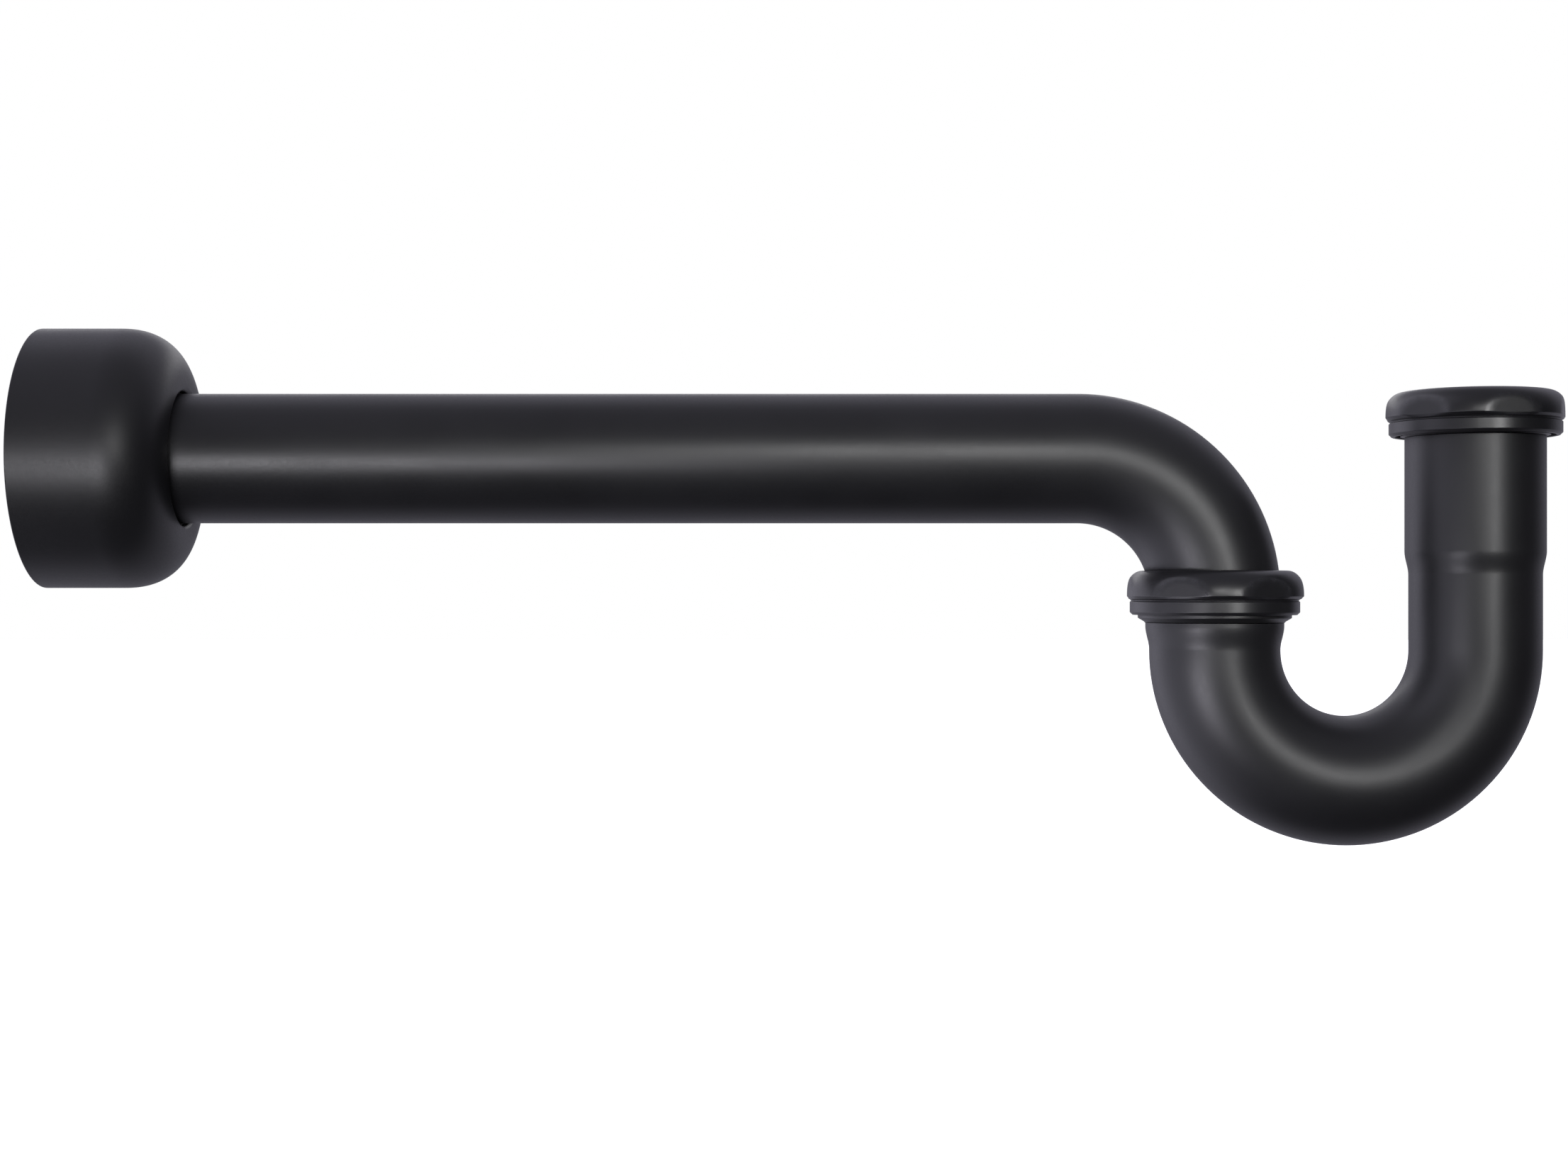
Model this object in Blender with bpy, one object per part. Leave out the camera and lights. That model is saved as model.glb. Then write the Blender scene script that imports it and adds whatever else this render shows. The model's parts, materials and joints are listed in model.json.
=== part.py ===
"""A tubular P-trap: wall tube with its bend, J-bend, two slip joints and a deep box flange.

The wall tube runs out of the wall along +X and bends down into a slip joint. The J-bend hangs
from that joint, and its inlet leg rises to a second slip joint, open at the top for a tailpiece.
The origin lies on the wall tube's axis in the plane of the wall. +Z is up, lengths are in metres.
"""

import math

import bmesh
import bpy
from mathutils import Vector

MM = 0.001

# Tube: 1-1/2 in tubular drain, 20 gauge
TUBE_R = 19.05 * MM
TUBE_WALL = 0.85 * MM
BELL_R = 20.15 * MM  # outside of the swaged ends of the J-bend
BELL_TAPER = 7.0 * MM  # length over which a swaged end comes down to the tube

# Wall tube; bend radii are on the centre line
ARM_START_X = 2.0 * MM
ARM_BEND_R = 40.4 * MM
ARM_LEG_X = 344.1 * MM
ARM_LEG_END_Z = -49.0 * MM

# J-bend
U_BEND_R = 38.4 * MM
U_CENTRE_Z = -56.4 * MM
OUTLET_BELL_END_Z = -49.2 * MM
INLET_BELL_END_Z = -27.2 * MM
INLET_X = ARM_LEG_X + 2 * U_BEND_R

# Slip joints
OUTLET_NUT_TOP_Z = -33.0 * MM
INLET_NUT_TOP_Z = 19.6 * MM
OUTLET_NUT_TURN = math.radians(57.5)  # where the flats of each nut lie
INLET_NUT_TURN = math.radians(38.6)
GAP = 0.3 * MM  # left between pieces that touch

# Slip nut
NUT_HEIGHT = 13.0 * MM
NUT_R = 26.2 * MM
NUT_FLAT_R = 25.0 * MM  # from the axis to each of the six flats
NUT_HOLE_R = 20.3 * MM
NUT_HOLE_EDGE = 0.3 * MM
NUT_SHOULDER = 2.0 * MM
DOME_CENTRE_R = 21.1 * MM  # where the dome leaves the flat rim of the hole
DOME_HEIGHT = 7.2 * MM
DOME_ANGLES = (90, 70, 50, 31, 14, 0)  # degrees along the dome, from the rim to its widest
HEX_HEIGHT = 8.5 * MM
SKIRT_GROOVE_R = 24.3 * MM
SKIRT_GROOVE_HALF = 0.35 * MM
SKIRT_R = 24.7 * MM
SKIRT_CHAMFER = 0.8 * MM
ENTRY_CHAMFER = 0.2 * MM

# Seals inside a nut; radii are of the hole
RING_R = 19.95 * MM
RING_THICKNESS = 0.8 * MM
WASHER_R = 19.6 * MM
WASHER_THICKNESS = 2.8 * MM
WASHER_BEVEL = 1.0 * MM
SEAL_OUTER_R = 22.2 * MM

# Heights under the top of a nut
RING_TOP = -NUT_SHOULDER - GAP
RING_BOTTOM = RING_TOP - RING_THICKNESS
WASHER_TOP = RING_BOTTOM - GAP
WASHER_BOTTOM = WASHER_TOP - WASHER_THICKNESS
MOUTH = WASHER_BOTTOM - GAP  # the J-bend's mouth and the top of the threaded collar

# Thread: 11.5 turns per inch, right-handed, 30 degree flanks
PITCH = 25.4 / 11.5 * MM
MALE_ROOT_R = 21.35 * MM
MALE_CREST_R = 22.35 * MM
FEMALE_ROOT_R = 22.75 * MM
FEMALE_CREST_R = 21.75 * MM
FLANK_SLOPE = math.tan(math.radians(30))
RIDGE_FOOT = 0.2 * MM  # how far a ridge reaches into the wall that carries it
RIDGE_START = -11.8 * MM  # height of the lowest turn's middle
RIDGE_TURNS = 1.75

# Threaded collar; only the outlet's has a foot that shows under its nut
COLLAR_LENGTH = 6.4 * MM
FOOT_STRAIGHT = 1.0 * MM
FOOT_CHAMFER = 1.5 * MM

# Box flange, turned about the wall tube
FLANGE_R = 38.1 * MM
FLANGE_WALL = 1.0 * MM
FLANGE_STRAIGHT = 23.2 * MM
SHOULDER_LENGTH = 18.0 * MM
SHOULDER_POWER = 2.3  # exponent of the shoulder's curve, 2 being an ellipse
CREST_R = 21.2 * MM
NECK_HOLE_R = 19.75 * MM
NECK_R = 22.7 * MM
NECK_LENGTH = 5.8 * MM
LIP_DEPTH = 1.2 * MM
GROOVE_R = 21.55 * MM
GROOVE_DEPTH = 2.2 * MM  # from the flange's face to the groove
GROOVE_WIDTH = 2.6 * MM
O_RING_R = 20.3 * MM  # to the middle of its section
O_RING_SECTION_R = 0.95 * MM

# Facets
ROUND_SIDES = 36
TUBE_SIDES = 32
ARM_BEND_STEPS = 10
U_BEND_STEPS = 18
TAPER_STEPS = 4
SHOULDER_STEPS = 8
LIP_STEPS = 3
O_RING_SIDES = 8
SHARP_ANGLE = math.radians(32)

DOWN = -math.pi / 2
UP = math.pi / 2


def clear_scene():
    for obj in list(bpy.data.objects):
        bpy.data.objects.remove(obj, do_unlink=True)


def make_material(name, colour, roughness, metallic=0.0):
    material = bpy.data.materials.new(name)
    material.use_nodes = True
    shader = material.node_tree.nodes["Principled BSDF"]
    shader.inputs["Base Color"].default_value = (*colour, 1.0)
    shader.inputs["Roughness"].default_value = roughness
    shader.inputs["Metallic"].default_value = metallic
    return material


def make_axis(name, location=(0, 0, 0), rotation=(0, 0, 0), parent=None):
    """An empty on a joint's axis, which carries the pieces that are turned about it."""
    empty = bpy.data.objects.new(name, None)
    empty.location = location
    empty.rotation_euler = rotation
    empty.parent = parent
    bpy.context.collection.objects.link(empty)
    return empty


def make_object(name, shape, material, parent):
    """Turns a bmesh in its parent's axes into a named object, shaded smooth."""
    bmesh.ops.recalc_face_normals(shape, faces=shape.faces)
    mesh = bpy.data.meshes.new(name)
    shape.to_mesh(mesh)
    shape.free()
    mesh.materials.append(material)
    mesh.shade_smooth()
    mesh.set_sharp_from_angle(angle=SHARP_ANGLE)
    obj = bpy.data.objects.new(name, mesh)
    obj.parent = parent
    bpy.context.collection.objects.link(obj)
    return obj


def bridge(shape, first, second):
    """Quads between two closed rings of as many vertices."""
    for i, vertex in enumerate(first):
        following = (i + 1) % len(first)
        shape.faces.new((vertex, first[following], second[following], second[i]))


def turned_solid(profile, reach=None):
    """A closed profile of (radius, height) points turned about Z.

    reach(radius, angle) may draw a point in, as the flats of a nut do.
    """
    shape = bmesh.new()
    rings = []
    for radius, height in profile:
        ring = []
        for i in range(ROUND_SIDES):
            angle = math.tau * i / ROUND_SIDES
            r = reach(radius, angle) if reach else radius
            ring.append(shape.verts.new((r * math.cos(angle), r * math.sin(angle), height)))
        rings.append(ring)
    for first, second in zip(rings, rings[1:] + rings[:1]):
        bridge(shape, first, second)
    return shape


def bent_tube(stations):
    """A tube whose centre line stays in the XZ plane.

    A station is (x, z, heading, outer radius), heading being the centre line's angle above +X.
    """
    shape = bmesh.new()
    skins = ([], [])
    for x, z, heading, outer in stations:
        across = Vector((-math.sin(heading), 0, math.cos(heading)))
        for skin, radius in zip(skins, (outer, outer - TUBE_WALL)):
            ring = []
            for i in range(TUBE_SIDES):
                angle = math.tau * i / TUBE_SIDES
                offset = across * math.cos(angle) + Vector((0, math.sin(angle), 0))
                ring.append(shape.verts.new(Vector((x, 0, z)) + radius * offset))
            skin.append(ring)
    for skin in skins:
        for first, second in zip(skin, skin[1:]):
            bridge(shape, first, second)
    for end in (0, -1):
        bridge(shape, skins[0][end], skins[1][end])
    return shape


def bend(centre_x, centre_z, radius, heading, turn, steps):
    """Stations along an arc from the first heading; a positive turn is to the left."""
    side = math.copysign(radius, turn)
    stations = []
    for i in range(steps + 1):
        now = heading + turn * i / steps
        x = centre_x + side * math.sin(now)
        z = centre_z - side * math.cos(now)
        stations.append((x, z, now, TUBE_R))
    return stations


def taper(x, wide_z, heading):
    """Stations down a swaged end from the bell to the tube, along an S-shaped curve."""
    stations = []
    for i in range(TAPER_STEPS + 1):
        share = i / TAPER_STEPS
        outer = BELL_R + (TUBE_R - BELL_R) * share * share * (3 - 2 * share)
        stations.append((x, wide_z - BELL_TAPER * share, heading, outer))
    return stations


def make_trap_arm(material, wall):
    centre_x = ARM_LEG_X - ARM_BEND_R
    stations = [(ARM_START_X, 0, 0, TUBE_R)]
    stations += bend(centre_x, -ARM_BEND_R, ARM_BEND_R, 0, DOWN, ARM_BEND_STEPS)
    stations.append((ARM_LEG_X, ARM_LEG_END_Z, DOWN, TUBE_R))
    make_object("trap_arm", bent_tube(stations), material, wall)


def make_j_bend(material, swivel):
    """Built from the top of the outlet nut, on the axis it swivels about."""
    outlet_bell_end = OUTLET_BELL_END_Z - OUTLET_NUT_TOP_Z
    inlet_bell_end = INLET_BELL_END_Z - OUTLET_NUT_TOP_Z
    inlet_mouth = INLET_NUT_TOP_Z - OUTLET_NUT_TOP_Z + MOUTH
    u_centre = U_CENTRE_Z - OUTLET_NUT_TOP_Z
    leg_x = 2 * U_BEND_R
    stations = [(0, MOUTH, DOWN, BELL_R)]
    stations += taper(0, outlet_bell_end, DOWN)
    stations += bend(U_BEND_R, u_centre, U_BEND_R, DOWN, math.pi, U_BEND_STEPS)
    stations += reversed(taper(leg_x, inlet_bell_end, UP))
    stations.append((leg_x, inlet_mouth, UP, BELL_R))
    make_object("j_bend", bent_tube(stations), material, swivel)


def make_friction_ring(name, material, joint):
    profile = [
        (RING_R, RING_TOP),
        (RING_R, RING_BOTTOM),
        (SEAL_OUTER_R, RING_BOTTOM),
        (SEAL_OUTER_R, RING_TOP),
    ]
    make_object(name, turned_solid(profile), material, joint)


def make_washer(name, material, joint):
    """The sealing washer, bevelled where it meets the mouth of the J-bend."""
    profile = [
        (WASHER_R, WASHER_TOP),
        (WASHER_R, WASHER_BOTTOM),
        (SEAL_OUTER_R - WASHER_BEVEL, WASHER_BOTTOM),
        (SEAL_OUTER_R, WASHER_BOTTOM + WASHER_BEVEL),
        (SEAL_OUTER_R, WASHER_TOP),
    ]
    make_object(name, turned_solid(profile), material, joint)


def ridge_section(root, crest, height_share):
    """(radius, offset) points of a thread ridge that stands to a share of its full height."""
    outward = math.copysign(1, crest - root)
    foot = root - outward * RIDGE_FOOT
    lowest = root - outward * RIDGE_FOOT / 2
    tip = lowest + (crest - lowest) * height_share
    crest_half = (PITCH / 2 - abs(crest - root) * FLANK_SLOPE) / 2
    tip_half = crest_half + abs(crest - tip) * FLANK_SLOPE
    foot_half = crest_half + abs(crest - foot) * FLANK_SLOPE
    return (foot, -foot_half), (tip, -tip_half), (tip, tip_half), (foot, foot_half)


def thread_ridge(root, crest, first_angle):
    """A helical ridge whose first and last quarter turns rise out of the wall."""
    shape = bmesh.new()
    steps = round(RIDGE_TURNS * ROUND_SIDES)
    rise = ROUND_SIDES / 4
    sections = []
    for i in range(steps + 1):
        angle = first_angle + math.tau * i / ROUND_SIDES
        height = RIDGE_START + PITCH * i / ROUND_SIDES
        share = min(1, i / rise, (steps - i) / rise)
        section = []
        for radius, offset in ridge_section(root, crest, share):
            point = (radius * math.cos(angle), radius * math.sin(angle), height + offset)
            section.append(shape.verts.new(point))
        sections.append(section)
    for first, second in zip(sections, sections[1:]):
        bridge(shape, first, second)
    shape.faces.new(sections[0])
    shape.faces.new(sections[-1])
    return shape


def add_thread(obj, root, crest, first_angle):
    """Joins a thread ridge to a piece with a Boolean union."""
    shape = thread_ridge(root, crest, first_angle)
    ridge = make_object(obj.name + "_ridge", shape, obj.data.materials[0], obj.parent)
    ridge.hide_render = True
    ridge.display_type = "WIRE"
    union = obj.modifiers.new("thread", "BOOLEAN")
    union.operation = "UNION"
    union.solver = "EXACT"
    union.object = ridge


def make_collar(name, has_foot, material, joint):
    """The threaded ring brazed round a mouth of the J-bend."""
    inner = BELL_R + GAP
    bottom = MOUTH - COLLAR_LENGTH
    if has_foot:
        foot_bottom = bottom - FOOT_STRAIGHT - FOOT_CHAMFER
        outline = [
            (inner, foot_bottom),
            (inner + GAP, foot_bottom),
            (MALE_CREST_R, bottom - FOOT_STRAIGHT),
            (MALE_CREST_R, bottom),
        ]
    else:
        outline = [(inner, bottom)]
    profile = [(inner, MOUTH), *outline, (MALE_ROOT_R, bottom), (MALE_ROOT_R, MOUTH)]
    collar = make_object(name, turned_solid(profile), material, joint)
    add_thread(collar, MALE_ROOT_R, MALE_CREST_R, 0)


def nut_reach(radius, angle):
    """Draws the outside of a nut in to its six flats."""
    if radius <= SKIRT_R:
        return radius
    sixth = math.tau / 6
    from_flat = (angle + sixth / 2) % sixth - sixth / 2
    return min(radius, NUT_FLAT_R / math.cos(from_flat))


def dome_point(degrees):
    angle = math.radians(degrees)
    radius = DOME_CENTRE_R + (NUT_R - DOME_CENTRE_R) * math.cos(angle)
    return radius, DOME_HEIGHT * (math.sin(angle) - 1)


def make_slip_nut(name, material, joint):
    """A domed hexagon with rounded corners over a round skirt, threaded inside the skirt."""
    groove = -HEX_HEIGHT - SKIRT_GROOVE_HALF
    profile = [(NUT_HOLE_R + NUT_HOLE_EDGE, 0)]
    profile += [dome_point(degrees) for degrees in DOME_ANGLES]
    profile += [
        (NUT_R, -HEX_HEIGHT),
        (SKIRT_GROOVE_R, groove),
        (SKIRT_R, groove - SKIRT_GROOVE_HALF),
        (SKIRT_R, SKIRT_CHAMFER - NUT_HEIGHT),
        (SKIRT_R - SKIRT_CHAMFER, -NUT_HEIGHT),
        (FEMALE_ROOT_R + ENTRY_CHAMFER, -NUT_HEIGHT),
        (FEMALE_ROOT_R, ENTRY_CHAMFER - NUT_HEIGHT),
        (FEMALE_ROOT_R, -NUT_SHOULDER),
        (NUT_HOLE_R, -NUT_SHOULDER),
        (NUT_HOLE_R, -NUT_HOLE_EDGE),
    ]
    nut = make_object(name, turned_solid(profile, nut_reach), material, joint)
    add_thread(nut, FEMALE_ROOT_R, FEMALE_CREST_R, math.pi)


def shoulder(outer_r, length, last_r):
    """Points round the flange's shoulder, from its straight wall to last_r near the crest."""
    span = outer_r - CREST_R
    last = math.acos(((last_r - CREST_R) / span) ** (SHOULDER_POWER / 2))
    points = []
    for i in range(SHOULDER_STEPS + 1):
        angle = last * i / SHOULDER_STEPS
        radius = CREST_R + span * max(0, math.cos(angle)) ** (2 / SHOULDER_POWER)
        points.append((radius, FLANGE_STRAIGHT + length * math.sin(angle) ** (2 / SHOULDER_POWER)))
    return points


def lip(face):
    """The edge of the flange's hole, rolled in from the crest."""
    points = []
    for i in range(1, LIP_STEPS + 1):
        angle = math.pi / 2 * i / LIP_STEPS
        radius = CREST_R - (CREST_R - NECK_HOLE_R) * math.sin(angle)
        points.append((radius, face - LIP_DEPTH * (1 - math.cos(angle))))
    return points


def make_box_flange(material, wall):
    face = FLANGE_STRAIGHT + SHOULDER_LENGTH
    groove = face - GROOVE_DEPTH
    profile = [(FLANGE_R, 0)]
    profile += shoulder(FLANGE_R, SHOULDER_LENGTH, CREST_R)
    profile += lip(face)
    profile += [
        (NECK_HOLE_R, groove),
        (GROOVE_R, groove),
        (GROOVE_R, groove - GROOVE_WIDTH),
        (NECK_HOLE_R, groove - GROOVE_WIDTH),
        (NECK_HOLE_R, face - NECK_LENGTH),
        (NECK_R, face - NECK_LENGTH),
    ]
    profile += reversed(shoulder(FLANGE_R - FLANGE_WALL, SHOULDER_LENGTH - FLANGE_WALL, NECK_R))
    profile += [(FLANGE_R - FLANGE_WALL, 0)]
    make_object("box_flange", turned_solid(profile), material, wall)


def make_o_ring(material, wall):
    middle = FLANGE_STRAIGHT + SHOULDER_LENGTH - GROOVE_DEPTH - GROOVE_WIDTH / 2
    profile = []
    for i in range(O_RING_SIDES):
        angle = math.tau * (i + 0.5) / O_RING_SIDES
        radius = O_RING_R + O_RING_SECTION_R * math.cos(angle)
        profile.append((radius, middle + O_RING_SECTION_R * math.sin(angle)))
    make_object("flange_o_ring", turned_solid(profile), material, wall)


def make_slip_joint(side, has_foot, joint, materials):
    make_friction_ring(side + "_friction_ring", materials["nylon"], joint)
    make_washer(side + "_washer", materials["rubber"], joint)
    make_collar(side + "_thread_collar", has_foot, materials["thread"], joint)
    make_slip_nut(side + "_slip_nut", materials["nut"], joint)


def main():
    clear_scene()
    materials = {
        "arm": make_material("arm_black", (0.020, 0.020, 0.023), 0.42),
        "j_bend": make_material("j_bend_black", (0.021, 0.021, 0.024), 0.42),
        "flange": make_material("flange_black", (0.019, 0.019, 0.022), 0.45),
        "nut": make_material("nut_black", (0.022, 0.022, 0.025), 0.38),
        "thread": make_material("thread_black", (0.024, 0.024, 0.026), 0.40),
        "nylon": make_material("ring_nylon", (0.78, 0.77, 0.72), 0.50),
        "rubber": make_material("washer_rubber", (0.030, 0.030, 0.030), 0.75),
    }
    wall = make_axis("wall_axis")
    flange_axis = make_axis("flange_axis", rotation=(0, math.pi / 2, 0))
    swivel = make_axis("swivel_axis", (ARM_LEG_X, 0, OUTLET_NUT_TOP_Z))
    outlet = make_axis("outlet_joint", rotation=(0, 0, OUTLET_NUT_TURN), parent=swivel)
    inlet_place = (2 * U_BEND_R, 0, INLET_NUT_TOP_Z - OUTLET_NUT_TOP_Z)
    inlet = make_axis("inlet_joint", inlet_place, (0, 0, INLET_NUT_TURN), swivel)
    make_trap_arm(materials["arm"], wall)
    make_j_bend(materials["j_bend"], swivel)
    make_slip_joint("outlet", True, outlet, materials)
    make_slip_joint("inlet", False, inlet, materials)
    make_box_flange(materials["flange"], flange_axis)
    make_o_ring(materials["rubber"], flange_axis)


main()
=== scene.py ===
"""The looks of the tubular P-trap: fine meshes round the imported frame, its finishes and a studio.

Every piece is a closed outline of (distance, radius) points swept along a centre line. A tube's
centre line bends; that of a nut, a ring or the flange is straight. Lengths are in metres.
"""

import json
import math

import bpy
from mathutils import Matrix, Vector


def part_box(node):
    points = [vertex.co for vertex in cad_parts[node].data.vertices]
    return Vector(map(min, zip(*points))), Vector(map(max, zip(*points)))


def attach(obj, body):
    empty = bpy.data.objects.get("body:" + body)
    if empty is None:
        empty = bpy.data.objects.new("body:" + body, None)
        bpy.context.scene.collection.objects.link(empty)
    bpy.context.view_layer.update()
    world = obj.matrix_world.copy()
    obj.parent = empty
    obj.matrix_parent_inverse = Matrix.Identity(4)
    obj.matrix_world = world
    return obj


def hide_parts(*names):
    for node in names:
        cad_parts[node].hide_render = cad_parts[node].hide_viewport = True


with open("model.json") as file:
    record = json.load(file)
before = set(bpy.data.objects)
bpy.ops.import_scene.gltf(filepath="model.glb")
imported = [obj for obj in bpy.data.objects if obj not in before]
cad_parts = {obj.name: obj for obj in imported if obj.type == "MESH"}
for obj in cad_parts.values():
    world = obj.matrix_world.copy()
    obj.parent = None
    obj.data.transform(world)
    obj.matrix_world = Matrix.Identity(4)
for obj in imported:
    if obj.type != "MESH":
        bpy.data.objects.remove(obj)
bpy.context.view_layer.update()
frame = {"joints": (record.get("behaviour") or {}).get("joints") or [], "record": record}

MM = 0.001
RIGHT, DOWN = 0.0, -math.pi / 2  # headings in the XZ plane
SIXTH = math.tau / 6
SAME_R = 0.001 * MM  # radii that differ by less count as equal
AXIS_RUN = 1.0  # any length will do, since a straight route goes on past its ends
OUTER, INNER = 0, 1  # where a piece's finishes are in its list


def joint_place(name):
    """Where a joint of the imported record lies, in the row frame."""
    for joint in frame["joints"]:
        if joint["name"] == name:
            return Vector(joint["pos_m"])


# Places and sizes that the frame gives
ARM_LOW, ARM_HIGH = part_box("trap_arm")
J_LOW, J_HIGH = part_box("j_bend")
FLANGE_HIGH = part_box("box_flange")[1]
OUTLET_NUT = joint_place("outlet_nut_turn")
INLET_NUT = joint_place("inlet_nut_turn")
TUBE_R = ARM_HIGH.y
BELL_R = J_HIGH.x - INLET_NUT.x
FLANGE_R = FLANGE_HIGH.y
FLANGE_DEPTH = FLANGE_HIGH.x
U_BEND_R = (INLET_NUT.x - OUTLET_NUT.x) / 2
U_CENTRE_Z = J_LOW.z + TUBE_R + U_BEND_R
MOUTH = OUTLET_NUT.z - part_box("outlet_thread_collar")[1].z  # depth of a mouth in its nut
NUT_HEIGHT = OUTLET_NUT.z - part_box("outlet_slip_nut")[0].z
WALL_CENTRE = Vector((0, 0, 0))  # where the arm's axis meets the wall

# Tubes
TUBE_WALL = 0.85 * MM
ARM_BEND_R = 40.4 * MM
BELL_TAPER = 7.0 * MM
OUTLET_BELL_END_Z = -49.2 * MM
INLET_BELL_END_Z = -27.2 * MM
CUT_EDGE_R = 0.22 * MM

# Slip nut; depths are under its top
OUTLET_NUT_TURN = math.radians(57.5)
INLET_NUT_TURN = math.radians(38.6)
NUT_R = 26.2 * MM
NUT_FLAT_R = 25.0 * MM
NUT_FLAT_BLEND = 0.7 * MM  # width over which a flat melts into what it meets
NUT_EDGE_R = 0.2 * MM
NUT_HOLE_R = 20.3 * MM
NUT_HOLE_CHAMFER = 0.3 * MM
NUT_SHOULDER = 2.0 * MM
NUT_ENTRY_CHAMFER = 0.2 * MM
NUT_UNDERCUT = 0.01 * MM  # widens the bore at the shoulder, where there is no thread
DOME_CENTRE_R = 21.1 * MM
DOME_DEPTH = 7.2 * MM
HEX_BOTTOM = 8.5 * MM
HEX_CHAMFER = 1.0 * MM
HEX_BOTTOM_R = 25.1 * MM
GROOVE_R = 24.25 * MM
GROOVE_HALF = 0.35 * MM
SKIRT_R = 24.7 * MM
SKIRT_CHAMFER = 0.8 * MM

# Thread, as on the CAD: 11.5 turns per inch, right-handed
PITCH = 25.4 / 11.5 * MM
MALE_ROOT_R, MALE_CREST_R = 21.35 * MM, 22.35 * MM
FEMALE_ROOT_R, FEMALE_CREST_R = 22.75 * MM, 21.75 * MM
FLANK = (MALE_CREST_R - MALE_ROOT_R) * math.tan(math.radians(30))
THREAD_START = 11.8 * MM  # depth of the lowest turn's middle, where the helix starts
THREAD_TURNS = 2.1
THREAD_FADE = 0.3  # turns over which a thread runs out

# Threaded collar
COLLAR_LENGTH = 6.4 * MM
COLLAR_CHAMFER = 0.25 * MM
COLLAR_EDGE_R = 0.15 * MM
COLLAR_SINK = 0.02 * MM  # depth to which it reaches into its socket, so that no gap shows
FOOT_STRAIGHT = 1.0 * MM
FOOT_CHAMFER = 1.5 * MM
BRAZE_R = 0.5 * MM

# Seals
SEAL_OUTER_R = 22.2 * MM
RING_R = 19.95 * MM
RING_THICKNESS = 0.8 * MM
RING_EDGE_R = 0.15 * MM
WASHER_R = 19.6 * MM
WASHER_THICKNESS = 2.8 * MM
WASHER_BEVEL = 1.0 * MM
WASHER_EDGE_R = 0.25 * MM
GAP = 0.3 * MM
NUT_THREAD_TOP = MOUTH - GAP + 0.05 * MM  # depth just under the washer

# Box flange; the shoulder goes from its straight wall to the crest round the tube
FLANGE_WALL = 1.0 * MM
FLANGE_STRAIGHT = 23.2 * MM
FLANGE_EDGE_R = 0.2 * MM
SHOULDER_LENGTH = FLANGE_DEPTH - FLANGE_STRAIGHT
SHOULDER_POWER = 2.3  # 2 would be an ellipse; more is squarer
CREST_R = 21.2 * MM
NECK_HOLE_R = 19.75 * MM
NECK_R = 22.7 * MM
NECK_LENGTH = 5.8 * MM
LIP_DEPTH = 1.2 * MM
O_RING_GROOVE_R = 21.55 * MM
O_RING_GROOVE_DEPTH = 2.2 * MM
O_RING_GROOVE_WIDTH = 2.6 * MM
O_RING_CLEARANCE = 0.02 * MM

# Mesh fineness
TUBE_SIDES = 128
TURNED_SIDES = 180
NUT_SIDES = 360
BEND_STEP = math.radians(2.5)
THREAD_STEP = PITCH / 16
TAPER_STEPS = 20
DOME_STEPS = 26
SHOULDER_STEPS = 40
LIP_STEPS = 10
O_RING_STEPS = 24
FILLET_STEPS = 4
FILLET_SHARE = 0.48  # the most of a side that a fillet takes up
FACE_WEIGHT = 80  # how much large faces rule the shading of the edges between faces


# ---------------------------------------------------------------- centre lines and outlines


class Route:
    """A centre line in the XZ plane, made of straight runs and arcs."""

    def __init__(self, x, z, heading):
        self.x, self.z, self.heading = x, z, heading
        self.length = 0.0
        self.legs = []

    def run(self, length):
        """Adds a straight run."""
        return self._add(length, 0.0)

    def turn(self, radius, angle):
        """Adds an arc; a positive angle turns to the left."""
        return self._add(radius * abs(angle), angle)

    def _add(self, length, angle):
        self.legs.append((self.length, length, self.x, self.z, self.heading, angle))
        self.length += length
        self.x, self.z, self.heading = self.at(self.length)
        return self

    def at(self, distance):
        """(x, z, heading) at a distance from the start; a straight leg at an end goes on."""
        leg = self.legs[0]
        for other in self.legs:
            if distance >= other[0]:
                leg = other
        start, length, x, z, heading, angle = leg
        along = distance - start
        if not angle or along <= 0 or length == 0:
            return x + along * math.cos(heading), z + along * math.sin(heading), heading
        radius = length / angle
        now = heading + angle * along / length
        x += radius * (math.sin(now) - math.sin(heading))
        z -= radius * (math.cos(now) - math.cos(heading))
        return x, z, now

    def stations(self):
        """Distances close enough together for the bends."""
        found = [0.0]
        for start, length, *_, angle in self.legs:
            steps = max(1, math.ceil(abs(angle) / BEND_STEP))
            found += [start + length * (i + 1) / steps for i in range(steps)]
        return found


def axis_route(place, heading):
    """A straight centre line from a place on, for what is turned about it."""
    return Route(place.x, place.z, heading).run(AXIS_RUN)


def rounded(corners):
    """An outline with its corners rounded. A corner is (distance, radius, finish[, fillet])."""
    outline = []
    for i, corner in enumerate(corners):
        here = Vector(corner[:2])
        fillet = corner[3] if len(corner) > 3 else 0
        before = Vector(corners[i - 1][:2]) - here
        after = Vector(corners[(i + 1) % len(corners)][:2]) - here
        if not fillet or before.length == 0 or after.length == 0:
            outline.append((here.x, here.y, corner[2]))
            continue
        reach = min(
            fillet / math.tan(before.angle(after) / 2),
            FILLET_SHARE * before.length,
            FILLET_SHARE * after.length,
        )
        first = here + before.normalized() * reach
        last = here + after.normalized() * reach
        for step in range(FILLET_STEPS + 1):
            share = step / FILLET_STEPS
            bent = first.lerp(here, share).lerp(here.lerp(last, share), share)
            outline.append((bent.x, bent.y, corner[2]))
    return outline


def clamp(value):
    """A value kept between 0 and 1."""
    return min(1.0, max(0.0, value))


# ---------------------------------------------------------------- meshes


def ring_angles(sides):
    """The angles of the points round a centre line."""
    return [math.tau * i / sides for i in range(sides)]


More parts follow.
